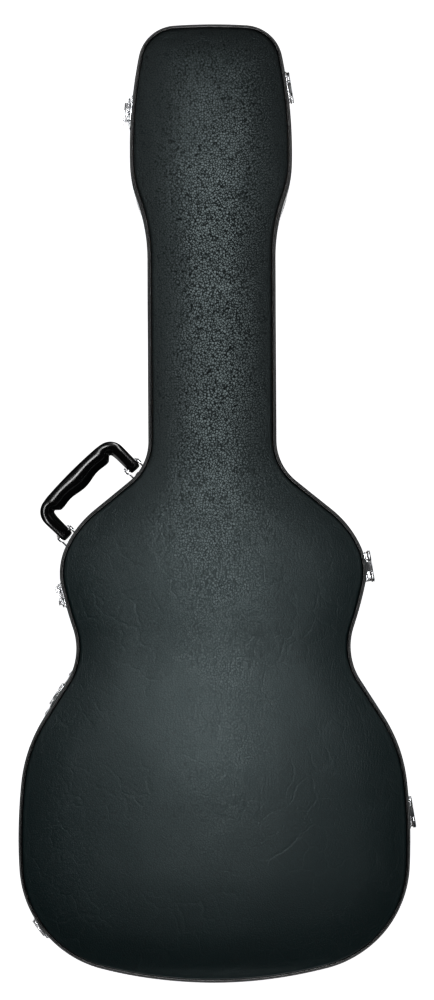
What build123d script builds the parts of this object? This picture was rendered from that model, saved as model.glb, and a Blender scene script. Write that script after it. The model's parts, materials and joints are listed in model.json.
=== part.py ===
"""A hard guitar case: a plywood shell and crowned lid in textured vinyl, with hinges, latches and a handle.

The case lies on its back with the lid up. X is to the hinge side, Y is to the headstock end, Z is up,
and the origin is under the middle of the case, on the surface that it lies on. Units are millimetres.
"""

from build123d import *
from functools import cache
import math
import os

import numpy as np

os.makedirs("parts", exist_ok=True)

# ---- Driving dimensions -------------------------------------------------------------------------------

CASE_LENGTH = 1092
JOINT = 100  # height of the lower shell's rim
LID_RIM = 136  # height of the lid's panel at its edge
CROWN = 15  # rise of the lid's panel in the middle of the lower bout
LOWER_BOUT = 222.5  # half of the widest width

# Half of the outline, from the middle of the headstock end to the tail end, as (size, turn) steps.
# A turn in degrees bends the wall clockwise on that radius, a negative one bends it back, and 0 is straight.
HEAD_STEPS = [(675, 3.5), (44, 75), (545, 13), (118, 18.5), (203, -20)]
BODY_STEPS = [
    (59, -51),
    (52, 0),
    (119.5, 25),
    (71, 38),
    (440, 6.5),
    (71, -51),
    (49.5, 0),
    (171, 26.5),
    (620, 9),
    (125, 72.5),
]
TAIL_TURN = 14.5
END_RADIUS = 500  # bend of the two ends, for carrying the crown on past them

FIT = 0.2  # glue line, or play between two pieces that touch
GAP = 0.3  # room between two pieces that move past each other
RUNNING = 0.1  # radial play of a pin in its knuckle

VINYL = 0.7
WALL = 5
LINING = 4
SHEET = 1.2  # thickness of the pressed metal plates
VALANCE_HEIGHT = 4
VALANCE_PROUD = 0.8
BEAD = 3.6  # width of the piping
TONGUE_REACH = 7.5  # how far the lid's tongue goes down inside the lower shell

RIVET = 1.5  # radius of the shank
RIVET_HEAD = 2.7
RIVET_GRIP = 4
RIVET_RISE = 1.1  # height of the head
PLATE_REACH = 60  # size across the wall of the boxes that cut plates and pockets

# Insets from the outside of the vinyl, going in.
WALL_OUT = VINYL + FIT
WALL_IN = WALL_OUT + WALL
LINING_OUT = WALL_IN + FIT
LINING_IN = LINING_OUT + LINING

# Heights of the flat layers of the lower shell, going up.
BACK_PANEL = VINYL + FIT
BACK_LINING = BACK_PANEL + WALL + FIT
FLOOR = BACK_LINING + LINING

# The hinges' common axis is a straight line in plan, just outside the wall.
HINGE_TOP = Vector(91.6, 478, JOINT)
HINGE_LOW = Vector(228.5, -360, JOINT)
HINGE_HEIGHTS = [478, -73, -356]
HINGE_WIDTH = 34
HINGE_LEAF = 22
HINGE_HOLE = 11  # distance of each rivet from the middle of a leaf
KNUCKLE = 2.5
HINGE_PIN = 1.2
MIDDLE_KNUCKLE = 11.4

LATCH_HEIGHTS = [452, -104, -485]
LATCH_WIDTH = 45
LOCK_HEIGHT = -219
LOCK_WIDTH = 60

# The latch in its side view: distance out from the wall, and height from the joint.
LEVER_PIVOT = (6, -16)
BAIL_PIVOT = (4.2, -28)
BAIL_TOP = 9.5
BAIL_WIRE = 1.2
BAIL_HALF_WIDTH = 12.9
LEVER_HALF_WIDTH = 11.2
EAR_HALF_WIDTH = 9.4
EAR = 1.6  # thickness of the ears that carry the lever
LEVER_PLAY = 0.4

HANDLE_MIDDLE = Vector(-126.3, -1.9, 60)
HANDLE_OUT = Vector(-0.7034, 0.7108, 0)
HANDLE_PIVOT = 9.2  # distance from the foot of the handle's legs to their pivot
HANDLE_LEG = 55.5  # distance of each leg's middle from the middle of the handle
HANDLE_PIN = 2.2
HANDLE_EAR = 2  # thickness of the brackets' ears
HANDLE_EAR_REACH = 14

BRACKET_FRONT = 34
BRACKET_REAR = -43
BRACKET_WIDTH = 28
LEG_HALF = 7.5  # half the width of the handle's legs
GRIP_HALF = 10  # half the height of the grip

PIPING_PROUD = 0.5
PIPING_INSET = 1
VALANCE_IN = 1.7
LID_WALL_TOP = 133.8
TONGUE_TOP = 112
LOWER_LINING_TOP = 91
CATCH_WIDTH = 30
HASP_WIDTH = 32

WAIST = -148
WAIST_PAD_REACH = 128  # how near the waist pads come to the middle of the case
WAIST_PAD_BULGE = 110
END_PAD = 32  # thickness of the pads at the two ends, with the wall
PAD_TOP = 86
CRADLE = 235
CRADLE_LENGTH = 40
CRADLE_TOP = 80
CRADLE_NOTCH = 64
CRADLE_DEPTH = 26

COMPARTMENT_TOP = 52
COMPARTMENT_FRONT = 120
COMPARTMENT_REAR = 190
PARTITION = 4
LID_PLAY = 1.5
TAB_WIDTH = 18
TAB_LENGTH = 16

# ---- Outline ------------------------------------------------------------------------------------------


def half_outline(neck_length):
    """The right half of the outline, from end to end; only its neck's length is open."""
    steps = HEAD_STEPS + [(neck_length, 0)] + BODY_STEPS
    place = Vector(0, CASE_LENGTH / 2)
    heading = Vector(1, 0)
    with BuildLine(mode=Mode.PRIVATE) as half:
        for size, turn in steps:
            if turn == 0:
                edge = Line(place, place + heading * size)
            else:
                edge = JernArc(place, heading, size, -turn)
            place = edge @ 1
            heading = edge % 1
        tail_radius = place.X / math.sin(math.radians(TAIL_TURN))
        JernArc(place, heading, tail_radius, -TAIL_TURN)
    return half.line


TRIAL_NECK = 100
trial = half_outline(TRIAL_NECK)
neck = TRIAL_NECK + CASE_LENGTH / 2 + min(vertex.Y for vertex in trial.vertices())
right_half = half_outline(neck)

with BuildSketch() as plan:
    with BuildLine():
        add(right_half)
        mirror(about=Plane.YZ)
    make_face()

# Points along the right half, from the tail to the head, for reading the half width at any Y.
wall_points = sorted(
    (edge @ share for edge in right_half.edges() for share in np.linspace(0, 1, 40)),
    key=lambda point: point.Y,
)
wall_y = [point.Y for point in wall_points]
wall_x = [point.X for point in wall_points]
wall_x_squared = [x * x for x in wall_x]


@cache
def outline(inset):
    """The outline moved inward by inset, or outward where it is negative."""
    return offset(plan.sketch, amount=-inset, mode=Mode.PRIVATE)


def ring(outer, inner):
    """Draws the band between two insets of the outline in the current sketch."""
    add(outline(outer))
    add(outline(inner), mode=Mode.SUBTRACT)


# ---- Crown of the lid ---------------------------------------------------------------------------------


def crown_height(x, y):
    """Rise of the lid over its rim: nothing at the wall, and a parabola across the case."""
    beyond_end = max(0, abs(y) - CASE_LENGTH / 2)
    half_width_squared = np.interp(y, wall_y, wall_x_squared) - 2 * END_RADIUS * beyond_end
    return CROWN * (half_width_squared - x * x) / LOWER_BOUT**2


def crown_surface(height):
    """The crowned surface whose edge lies at the given height."""
    across = np.linspace(-LOWER_BOUT - 12, LOWER_BOUT + 12, 31)
    along = np.linspace(-CASE_LENGTH / 2 - 14, CASE_LENGTH / 2 + 14, 91)
    rows = [[Vector(x, y, height + crown_height(x, y)) for y in along] for x in across]
    return Face.make_surface_from_array_of_points(rows)


# ---- Places on the wall -------------------------------------------------------------------------------


class Station:
    """A place at the side of the case, at the joint's height, with the direction that faces out."""

    def __init__(self, origin, out):
        self.origin = Vector(origin.X, origin.Y, JOINT)
        self.out = out.normalized()
        self.along = self.out.cross(Vector(0, 0, 1))
        self.plan = Location((origin.X, origin.Y, 0), (0, 0, math.degrees(math.atan2(out.Y, out.X))))
        # In the profile plane x is out and y is up; in the face plane x is along the wall and y is up.
        self.profile = Plane(origin=self.origin, x_dir=self.out, z_dir=self.along)
        self.face = Plane(origin=self.origin, x_dir=self.along * -1, z_dir=self.out)

    def wall_distance(self, sideways):
        """Distance out from the origin to the covering, at a place along the face plane's x."""
        side = math.copysign(1, self.origin.X)
        near = []
        for point in wall_points:
            step = Vector(side * point.X, point.Y, JOINT) - self.origin
            if step.length < 70:
                near.append((step.dot(self.along * -1), step.dot(self.out)))
        near.sort()
        return float(np.interp(sideways, [place[0] for place in near], [place[1] for place in near]))


def wall_station(y, side):
    """The station on the covering at the given Y, on the right for side 1 and on the left for side -1."""
    x = np.interp(y, wall_y, wall_x)
    slope = (np.interp(y + 1, wall_y, wall_x) - np.interp(y - 1, wall_y, wall_x)) / 2
    return Station(Vector(side * x, y), Vector(side, -slope))


hinge_direction = (HINGE_TOP - HINGE_LOW).normalized()
hinge_out = hinge_direction.cross(Vector(0, 0, 1))


def hinge_station(y):
    """The station on the hinge axis at the given Y."""
    share = (y - HINGE_LOW.Y) / (HINGE_TOP.Y - HINGE_LOW.Y)
    return Station(HINGE_LOW + (HINGE_TOP - HINGE_LOW) * share, hinge_out)


HINGES = [hinge_station(y) for y in HINGE_HEIGHTS]
LATCHES = [wall_station(y, -1) for y in LATCH_HEIGHTS]
LOCK = wall_station(LOCK_HEIGHT, -1)


def plate(station, width, low, high, holes, corner=2.5):
    """Makes a pressed plate bent to the wall in the current part, with rivet holes through it."""
    with BuildSketch(Plane.XY.offset(JOINT + low - 1)) as bent:
        ring(-FIT - SHEET, -FIT)
        with Locations(station.plan):
            Rectangle(PLATE_REACH, width + 2, mode=Mode.INTERSECT)
    extrude(bent.sketch, amount=high - low + 2)
    with BuildSketch(station.face) as front:
        with Locations((0, (low + high) / 2)):
            RectangleRounded(width, high - low, corner)
        with Locations(*holes):
            Circle(RIVET + RUNNING, mode=Mode.SUBTRACT)
    extrude(front.sketch, amount=PLATE_REACH / 2, both=True, mode=Mode.INTERSECT)


def rivet(station, sideways, height):
    """Makes one domed rivet in the current part, with its head on the plate at that place."""
    under_head = [station.wall_distance(sideways + step) for step in (-RIVET_HEAD, 0, RIVET_HEAD)]
    seat = station.face.offset(max(under_head) + FIT + SHEET + 0.05)
    with BuildSketch(seat) as head:
        with Locations((sideways, height)):
            Circle(RIVET_HEAD)
    extrude(head.sketch, amount=RIVET_RISE, taper=35)
    with BuildSketch(seat) as shank:
        with Locations((sideways, height)):
            Circle(RIVET)
    extrude(shank.sketch, amount=-RIVET_GRIP)


def pocket(station, width):
    """Cuts the place of a plate out of the valance in the current part."""
    with BuildSketch(Plane.XY.offset(JOINT - 10)) as place:
        with Locations(station.plan):
            Rectangle(PLATE_REACH, width + 2 * GAP)
    extrude(place.sketch, amount=20, mode=Mode.SUBTRACT)


# ---- Lower shell --------------------------------------------------------------------------------------

with BuildPart() as back_covering:
    with BuildSketch():
        add(outline(0))
    extrude(amount=VINYL)
back_covering.part.label = "back_covering"
export_step(back_covering.part, "parts/back_covering.step")

with BuildPart() as back_panel:
    with BuildSketch(Plane.XY.offset(BACK_PANEL)):
        add(outline(WALL_OUT))
    extrude(amount=WALL)
back_panel.part.label = "back_panel"
export_step(back_panel.part, "parts/back_panel.step")

with BuildPart() as lower_side_wall:
    with BuildSketch(Plane.XY.offset(BACK_LINING)):
        ring(WALL_OUT, WALL_IN)
    extrude(amount=JOINT - BACK_LINING)
    with BuildSketch(Plane.XY.offset(JOINT - VALANCE_HEIGHT - FIT)):
        ring(WALL_OUT - 1, VALANCE_IN + FIT)
    extrude(amount=VALANCE_HEIGHT + 1, mode=Mode.SUBTRACT)
lower_side_wall.part.label = "lower_side_wall"
export_step(lower_side_wall.part, "parts/lower_side_wall.step")

with BuildPart() as lower_piping:
    with BuildSketch(Plane.XY.offset(BACK_PANEL)):
        ring(-PIPING_PROUD, VINYL)
    extrude(amount=BEAD)
    fillet(lower_piping.faces().sort_by(Axis.Z)[-1].outer_wire().edges(), radius=PIPING_PROUD)
lower_piping.part.label = "lower_piping"
export_step(lower_piping.part, "parts/lower_piping.step")

with BuildPart() as lower_side_covering:
    with BuildSketch(Plane.XY.offset(BACK_PANEL + BEAD + FIT)):
        ring(0, VINYL)
    extrude(amount=JOINT - VALANCE_HEIGHT - BACK_PANEL - BEAD - 2 * FIT)
lower_side_covering.part.label = "lower_side_covering"
export_step(lower_side_covering.part, "parts/lower_side_covering.step")

with BuildPart() as lower_valance:
    with BuildSketch(Plane.XY.offset(JOINT - VALANCE_HEIGHT)):
        ring(-VALANCE_PROUD, VALANCE_IN)
    extrude(amount=VALANCE_HEIGHT)
    for hinge in HINGES:
        pocket(hinge, HINGE_WIDTH + 4)
    for latch in LATCHES:
        pocket(latch, LATCH_WIDTH)
    pocket(LOCK, LOCK_WIDTH)
lower_valance.part.label = "lower_valance"
export_step(lower_valance.part, "parts/lower_valance.step")

with BuildPart() as back_lining:
    with BuildSketch(Plane.XY.offset(BACK_LINING)):
        add(outline(LINING_OUT))
    extrude(amount=LINING)
back_lining.part.label = "back_lining"
export_step(back_lining.part, "parts/back_lining.step")

with BuildPart() as lower_side_lining:
    with BuildSketch(Plane.XY.offset(FLOOR + FIT)):
        ring(LINING_OUT, LINING_IN)
    extrude(amount=LOWER_LINING_TOP - FLOOR - FIT)
lower_side_lining.part.label = "lower_side_lining"
export_step(lower_side_lining.part, "parts/lower_side_lining.step")

for name, side in (("waist_pad_right", 1), ("waist_pad_left", -1)):
    with BuildPart() as waist_pad:
        with BuildSketch(Plane.XY.offset(FLOOR + FIT)):
            add(outline(LINING_IN + FIT))
            with Locations((side * (WAIST_PAD_REACH + WAIST_PAD_BULGE), WAIST)):
                Circle(WAIST_PAD_BULGE, mode=Mode.INTERSECT)
        extrude(amount=PAD_TOP - FLOOR)
    waist_pad.part.label = name
    export_step(waist_pad.part, f"parts/{name}.step")

for name, end in (("head_pad", 1), ("tail_pad", -1)):
    with BuildPart() as end_pad:
        with BuildSketch(Plane.XY.offset(FLOOR + FIT)):
            add(outline(LINING_IN + FIT))
            with Locations((0, end * CASE_LENGTH / 2)):
                Rectangle(2 * LOWER_BOUT, 2 * END_PAD, mode=Mode.INTERSECT)
        extrude(amount=PAD_TOP - FLOOR)
    end_pad.part.label = name
    export_step(end_pad.part, f"parts/{name}.step")

with BuildPart() as neck_cradle:
    with BuildSketch(Plane.XY.offset(FLOOR + FIT)):
        add(outline(LINING_IN + FIT))
        with Locations((0, CRADLE)):
            Rectangle(2 * LOWER_BOUT, CRADLE_LENGTH, mode=Mode.INTERSECT)
    extrude(amount=CRADLE_TOP - FLOOR)
    with BuildSketch(Plane.XZ.offset(-CRADLE)):
        with Locations((0, CRADLE_TOP)):
            RectangleRounded(CRADLE_NOTCH, 2 * CRADLE_DEPTH, 12)
    extrude(amount=CRADLE_LENGTH, both=True, mode=Mode.SUBTRACT)
neck_cradle.part.label = "neck_cradle"
export_step(neck_cradle.part, "parts/neck_cradle.step")

# ---- Accessory compartment under the guitar's neck ------------------------------------------------------

for name, middle in (
    ("compartment_front_wall", COMPARTMENT_FRONT + PARTITION / 2),
    ("compartment_rear_wall", COMPARTMENT_REAR - PARTITION / 2),
):
    with BuildPart() as partition:
        with BuildSketch(Plane.XY.offset(FLOOR + FIT)):
            add(outline(LINING_IN + FIT))
            with Locations((0, middle)):
                Rectangle(2 * LOWER_BOUT, PARTITION, mode=Mode.INTERSECT)
        extrude(amount=COMPARTMENT_TOP - FLOOR - FIT)
    partition.part.label = name
    export_step(partition.part, f"parts/{name}.step")

with BuildPart() as compartment_lid:
    with BuildSketch(Plane.XY.offset(COMPARTMENT_TOP + GAP)):
        add(outline(LINING_IN + LID_PLAY))
        with Locations((0, (COMPARTMENT_FRONT + COMPARTMENT_REAR) / 2)):
            Rectangle(2 * LOWER_BOUT, COMPARTMENT_REAR - COMPARTMENT_FRONT, mode=Mode.INTERSECT)
    extrude(amount=PARTITION)
compartment_lid.part.label = "compartment_lid"
export_step(compartment_lid.part, "parts/compartment_lid.step")

with BuildPart() as compartment_pull_tab:
    with BuildSketch(Plane.XY.offset(COMPARTMENT_TOP + GAP + PARTITION + FIT)):
        with Locations((0, COMPARTMENT_FRONT + TAB_LENGTH / 2 - 1)):
            RectangleRounded(TAB_WIDTH, TAB_LENGTH, 4)
    extrude(amount=SHEET)
compartment_pull_tab.part.label = "compartment_pull_tab"
export_step(compartment_pull_tab.part, "parts/compartment_pull_tab.step")

# ---- Lid ----------------------------------------------------------------------------------------------

with BuildPart() as lid_side_wall:
    with BuildSketch(Plane.XY.offset(JOINT + GAP)):
        ring(WALL_OUT, WALL_IN)
    extrude(amount=LID_WALL_TOP - JOINT - GAP)
    with BuildSketch(Plane.XY.offset(JOINT)):
        ring(WALL_OUT - 1, VALANCE_IN + FIT)
    extrude(amount=GAP + VALANCE_HEIGHT + FIT, mode=Mode.SUBTRACT)
lid_side_wall.part.label = "lid_side_wall"
export_step(lid_side_wall.part, "parts/lid_side_wall.step")

with BuildPart() as lid_valance:
    with BuildSketch(Plane.XY.offset(JOINT + GAP)):
        ring(-VALANCE_PROUD, VALANCE_IN)
    extrude(amount=VALANCE_HEIGHT)
    for hinge in HINGES:
        pocket(hinge, HINGE_WIDTH + 4)
    for latch in LATCHES:
        pocket(latch, CATCH_WIDTH)
    pocket(LOCK, HASP_WIDTH)
lid_valance.part.label = "lid_valance"
export_step(lid_valance.part, "parts/lid_valance.step")

with BuildPart() as lid_tongue:
    with BuildSketch(Plane.XY.offset(JOINT - TONGUE_REACH)):
        ring(WALL_IN + GAP, WALL_IN + GAP + SHEET)
    extrude(amount=TONGUE_TOP - JOINT + TONGUE_REACH)
lid_tongue.part.label = "lid_tongue"
export_step(lid_tongue.part, "parts/lid_tongue.step")

with BuildPart() as lid_side_covering:
    with BuildSketch(Plane.XY.offset(JOINT + GAP + VALANCE_HEIGHT + FIT)):
        ring(0, VINYL)
    extrude(amount=LID_WALL_TOP - JOINT - GAP - VALANCE_HEIGHT - FIT)
lid_side_covering.part.label = "lid_side_covering"
export_step(lid_side_covering.part, "parts/lid_side_covering.step")

with BuildPart() as lid_piping:
    with BuildSketch(Plane.XY.offset(LID_WALL_TOP + FIT)):
        ring(PIPING_INSET, PIPING_INSET + BEAD)
    extrude(amount=BEAD)
    top_face = lid_piping.faces().sort_by(Axis.Z)[-1]
    fillet(top_face.edges(), radius=BEAD / 2 - FIT)
lid_piping.part.label = "lid_piping"
export_step(lid_piping.part, "parts/lid_piping.step")

# Each layer of the lid's top: its name, the inset of its edge, and the heights of its two faces at the rim.
LID_LAYERS = (
    ("lid_top_panel", LINING_OUT, LID_RIM - WALL, LID_RIM),
    ("lid_top_covering", PIPING_INSET + BEAD + FIT, LID_RIM + FIT, LID_RIM + FIT + VINYL),
    ("lid_lining", LINING_OUT, LID_RIM - WALL - FIT - LINING, LID_RIM - WALL - FIT),
)
for name, inset, low, high in LID_LAYERS:
    with BuildPart() as layer:
        with BuildSketch(Plane.XY.offset(JOINT)):
            add(outline(inset))
        extrude(amount=LID_RIM + 2 * CROWN - JOINT)
        split(bisect_by=crown_surface(high), keep=Keep.BOTTOM)
        split(bisect_by=crown_surface(low), keep=Keep.TOP)
    layer.part.label = name
    export_step(layer.part, f"parts/{name}.step")

with BuildPart() as lid_side_lining:
    with BuildSketch(Plane.XY.offset(TONGUE_TOP + FIT)):
        ring(LINING_OUT, LINING_IN)
    extrude(amount=LID_RIM - WALL - LINING - 2 * FIT - GAP - TONGUE_TOP)
lid_side_lining.part.label = "lid_side_lining"
export_step(lid_side_lining.part, "parts/lid_side_lining.step")

# ---- Hinges -------------------------------------------------------------------------------------------


def knuckle(hinge, start, length, side):
    """Makes one knuckle in the current part, with the web that joins it to its leaf, up for side 1."""
    reach = hinge.wall_distance(0) - 2
    edge = side * (KNUCKLE - SHEET / 2)
    with BuildSketch(hinge.profile.offset(start)) as section:
        Circle(KNUCKLE)
        with Locations((reach / 2, edge)):
            Rectangle(-reach, SHEET)
        Circle(HINGE_PIN + RUNNING, mode=Mode.SUBTRACT)
    extrude(section.sketch, amount=length)


def notch(hinge, start, length):
    """Cuts the place of the other leaf's knuckle out of the current part."""
    with BuildSketch(hinge.profile.offset(start)) as room:
        Circle(KNUCKLE + GAP)
    extrude(room.sketch, amount=length, mode=Mode.SUBTRACT)


def clear_of_wall():
    """Cuts what reaches inside the covering off the current part."""
    with BuildSketch() as inside:
        add(outline(-FIT))
    extrude(inside.sketch, amount=LID_RIM, mode=Mode.SUBTRACT)


middle_half = MIDDLE_KNUCKLE / 2
end_length = HINGE_WIDTH / 2 - middle_half - GAP
leaf_hole = HINGE_LEAF * 0.65
LOWER_LEAF_HOLES = [(-HINGE_HOLE, -leaf_hole), (HINGE_HOLE, -leaf_hole)]
UPPER_LEAF_HOLES = [(-HINGE_HOLE, leaf_hole), (HINGE_HOLE, leaf_hole)]

for number, hinge in enumerate(HINGES, start=1):
    with BuildPart() as lower_leaf:
        plate(hinge, HINGE_WIDTH, -HINGE_LEAF, SHEET - KNUCKLE, LOWER_LEAF_HOLES)
        notch(hinge, -middle_half - GAP, MIDDLE_KNUCKLE + 2 * GAP)
        knuckle(hinge, middle_half + GAP, end_length, -1)
        knuckle(hinge, -middle_half - GAP - end_length, end_length, -1)
        clear_of_wall()
    lower_leaf.part.label = f"hinge_lower_leaf_{number}"
    export_step(lower_leaf.part, f"parts/hinge_lower_leaf_{number}.step")

    with BuildPart() as upper_leaf:
        plate(hinge, HINGE_WIDTH, KNUCKLE - SHEET, HINGE_LEAF, UPPER_LEAF_HOLES)
        notch(hinge, middle_half, end_length + 3 * GAP)
        notch(hinge, -middle_half - end_length - 3 * GAP, end_length + 3 * GAP)
        knuckle(hinge, -middle_half, MIDDLE_KNUCKLE, 1)
        clear_of_wall()
    upper_leaf.part.label = f"hinge_upper_leaf_{number}"
    export_step(upper_leaf.part, f"parts/hinge_upper_leaf_{number}.step")

with BuildPart() as hinge_pins:
    for hinge in HINGES:
        with BuildSketch(hinge.profile):
            Circle(HINGE_PIN)
        extrude(amount=HINGE_WIDTH / 2 + GAP, both=True)
        for start, length in ((HINGE_WIDTH / 2 + GAP, 1), (-HINGE_WIDTH / 2 - GAP - 1, 1)):
            with BuildSketch(hinge.profile.offset(start)):
                Circle(KNUCKLE - GAP)
            extrude(amount=length)
hinge_pins.part.label = "hinge_pins"
export_step(hinge_pins.part, "parts/hinge_pins.step")

# ---- Draw latches -------------------------------------------------------------------------------------

BASE_HOLES = [(-18.5, -8), (18.5, -8), (-18.5, -37.5), (18.5, -37.5)]
CATCH_HOLES = [(-9.5, 17.5), (9.5, 17.5)]

for number, latch in enumerate(LATCHES, start=1):
    with BuildPart() as base:
        plate(latch, LATCH_WIDTH, -44, -1.5, BASE_HOLES)
        for start in (EAR_HALF_WIDTH - EAR, -EAR_HALF_WIDTH):
            with BuildSketch(latch.profile.offset(start)):
                with Locations((3, LEVER_PIVOT[1])):
                    Rectangle(5.2, 5.2)
                with Locations(LEVER_PIVOT):
                    Circle(2.6)
                    Circle(BAIL_WIRE + RUNNING, mode=Mode.SUBTRACT)
            extrude(amount=EAR)
    base.part.label = f"latch_base_{number}"
    export_step(base.part, f"parts/latch_base_{number}.step")

    with BuildPart() as lever:
        for start in (EAR_HALF_WIDTH + LEVER_PLAY, -LEVER_HALF_WIDTH):
            with BuildSketch(latch.profile.offset(start)):
                with BuildLine():
                    Polyline((9.6, -15.4), (9.6, -41), (8.8, -41), (3, -30), (3, -16), (9.6, -15.4))
                make_face()
                with Locations(LEVER_PIVOT):
                    Circle(3)
                with Locations(BAIL_PIVOT):
                    Circle(2.3)
                with Locations(LEVER_PIVOT, BAIL_PIVOT):
                    Circle(BAIL_WIRE + RUNNING, mode=Mode.SUBTRACT)
            extrude(amount=LEVER_HALF_WIDTH - EAR_HALF_WIDTH - LEVER_PLAY)
        with BuildSketch(latch.profile):
            with BuildLine():
                Polyline(
                    (9, -15.2),
                    (10.2, -15.2),
                    (10.2, -41),
                    (11.8, -46.4),
                    (10.7, -46.8),
                    (9, -41.2),
                    (9, -15.2),
                )
            make_face()
        extrude(amount=LEVER_HALF_WIDTH, both=True)
    lever.part.label = f"latch_lever_{number}"
    export_step(lever.part, f"parts/latch_lever_{number}.step")

    with BuildPart() as bail:
        with BuildLine(latch.face.offset(BAIL_PIVOT[0])) as wire:
            FilletPolyline(
                (EAR_HALF_WIDTH, BAIL_PIVOT[1]),
                (BAIL_HALF_WIDTH, BAIL_PIVOT[1]),
                (BAIL_HALF_WIDTH, BAIL_TOP),
                (-BAIL_HALF_WIDTH, BAIL_TOP),
                (-BAIL_HALF_WIDTH, BAIL_PIVOT[1]),
                (-EAR_HALF_WIDTH, BAIL_PIVOT[1]),
                radius=2,
            )
        with BuildSketch(Plane(origin=wire.line @ 0, z_dir=wire.line % 0)):
            Circle(BAIL_WIRE)
        sweep()
    bail.part.label = f"latch_bail_{number}"
    export_step(bail.part, f"parts/latch_bail_{number}.step")

    with BuildPart() as catch:
        plate(latch, CATCH_WIDTH, 1.8, 23, CATCH_HOLES)
        with BuildSketch(latch.profile):
            with BuildLine():
                Polyline((0.6, 5.6), (7, 5.6), (7, 8), (5.8, 8), (5.8, 6.8), (0.6, 6.8), (0.6, 5.6))
            make_face()
        extrude(amount=8, both=True)
    catch.part.label = f"latch_catch_{number}"
    export_step(catch.part, f"parts/latch_catch_{number}.step")

with BuildPart() as latch_pins:
    for latch in LATCHES:
        with BuildSketch(latch.profile):
            with Locations(LEVER_PIVOT):
                Circle(BAIL_WIRE)
        extrude(amount=LEVER_HALF_WIDTH + 0.1, both=True)
latch_pins.part.label = "latch_pins"
export_step(latch_pins.part, "parts/latch_pins.step")

# ---- Lock at the waist ----------------------------------------------------------------------------------

LOCK_HOLES = [(-26, -7), (26, -7), (-26, -29), (26, -29)]
HASP_HOLES = [(-10, 17), (10, 17)]
HASP_AXIS = (2.8, 6)
HASP_KNUCKLE = 1.6
HASP_PIN = 0.8
HASP_MIDDLE = 6.7
HASP_KNUCKLE_END = 14
KEY_HEIGHT = -26
KEY_RADIUS = 4.4
BUTTON_START = 12
BUTTON_TRAVEL = 6

with BuildPart() as lock_plate:
    plate(LOCK, LOCK_WIDTH, -34, -1.5, LOCK_HOLES)
    with BuildSketch(LOCK.face):
        with Locations((0, -12)):
            Rectangle(11, 5)
        with Locations((0, KEY_HEIGHT)):
            Circle(KEY_RADIUS + RUNNING)
        with Locations((BUTTON_START + BUTTON_TRAVEL / 2, KEY_HEIGHT)):
            Rectangle(BUTTON_TRAVEL + 6.6, 5)
    extrude(amount=5, mode=Mode.SUBTRACT)
lock_plate.part.label = "lock_plate"
export_step(lock_plate.part, "parts/lock_plate.step")

with BuildPart() as lock_cylinder:
    with BuildSketch(LOCK.face.offset(FIT)):
        with Locations((0, KEY_HEIGHT)):
            Circle(KEY_RADIUS)
    extrude(amount=2.4)
    with BuildSketch(LOCK.face.offset(FIT + 1.2)):
        with Locations((0, KEY_HEIGHT)):
            Rectangle(1.2, 5)
            Circle(1.3)
    extrude(amount=2, mode=Mode.SUBTRACT)
lock_cylinder.part.label = "lock_cylinder"
export_step(lock_cylinder.part, "parts/lock_cylinder.step")

with BuildPart() as lock_button:
    with BuildSketch(LOCK.face.offset(FIT + RUNNING)):
        with Locations((BUTTON_START, KEY_HEIGHT)):
            Rectangle(6, 4.4)
    extrude(amount=2)
    with BuildSketch(LOCK.face.offset(FIT + SHEET + GAP)):
        with Locations((BUTTON_START, KEY_HEIGHT)):
            RectangleRounded(8, 8, 1)
    extrude(amount=1.2)
    for rib in (-2, 0, 2):
        with BuildSketch(LOCK.face.offset(FIT + SHEET + GAP + 1)):
            with Locations((BUTTON_START + rib, KEY_HEIGHT)):
                Rectangle(0.8, 6)
        extrude(amount=0.8)
lock_button.part.label = "lock_button"
export_step(lock_button.part, "parts/lock_button.step")

with BuildPart() as hasp_plate:
    plate(LOCK, HASP_WIDTH, 8, 25, HASP_HOLES)
    for start in (HASP_MIDDLE + GAP, -HASP_KNUCKLE_END):
        with BuildSketch(LOCK.profile.offset(start)):
            with Locations(HASP_AXIS):
                Circle(HASP_KNUCKLE)
            with Locations((1, 7.3)):
                Rectangle(1.2, 3)
            with Locations(HASP_AXIS):
                Circle(HASP_PIN + RUNNING, mode=Mode.SUBTRACT)
        extrude(amount=HASP_KNUCKLE_END - HASP_MIDDLE - GAP)
hasp_plate.part.label = "hasp_plate"
export_step(hasp_plate.part, "parts/hasp_plate.step")

with BuildPart() as hasp:
    with BuildSketch(LOCK.face.offset(2)):
        with Locations((0, -8)):
            RectangleRounded(26, 24, 3)
        with Locations((0, 3)):
            Rectangle(2 * HASP_MIDDLE, 6)
    extrude(amount=SHEET)
    with BuildSketch(LOCK.profile):
        with Locations(HASP_AXIS):
            Circle(HASP_KNUCKLE)
    extrude(amount=HASP_MIDDLE, both=True)
    with BuildSketch(LOCK.profile):
        with BuildLine():
            Polyline((2, -19), (3.2, -19), (4.6, -20.6), (3.8, -21.2), (2, -19))
        make_face()
    extrude(amount=8, both=True)
    with BuildSketch(LOCK.face.offset(0.5)):
        with Locations((0, -12)):
            Rectangle(8, 3)
    extrude(amount=1.6)
    with BuildSketch(LOCK.profile):
        with Locations(HASP_AXIS):
            Circle(HASP_PIN + RUNNING)
    extrude(amount=HASP_MIDDLE, both=True, mode=Mode.SUBTRACT)
hasp.part.label = "hasp"
export_step(hasp.part, "parts/hasp.step")

with BuildPart() as hasp_pin:
    with BuildSketch(LOCK.profile):
        with Locations(HASP_AXIS):
            Circle(HASP_PIN)
    extrude(amount=HASP_KNUCKLE_END + GAP, both=True)
hasp_pin.part.label = "hasp_pin"
export_step(hasp_pin.part, "parts/hasp_pin.step")

# ---- Handle -------------------------------------------------------------------------------------------

handle_along = HANDLE_OUT.cross(Vector(0, 0, 1))
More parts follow.
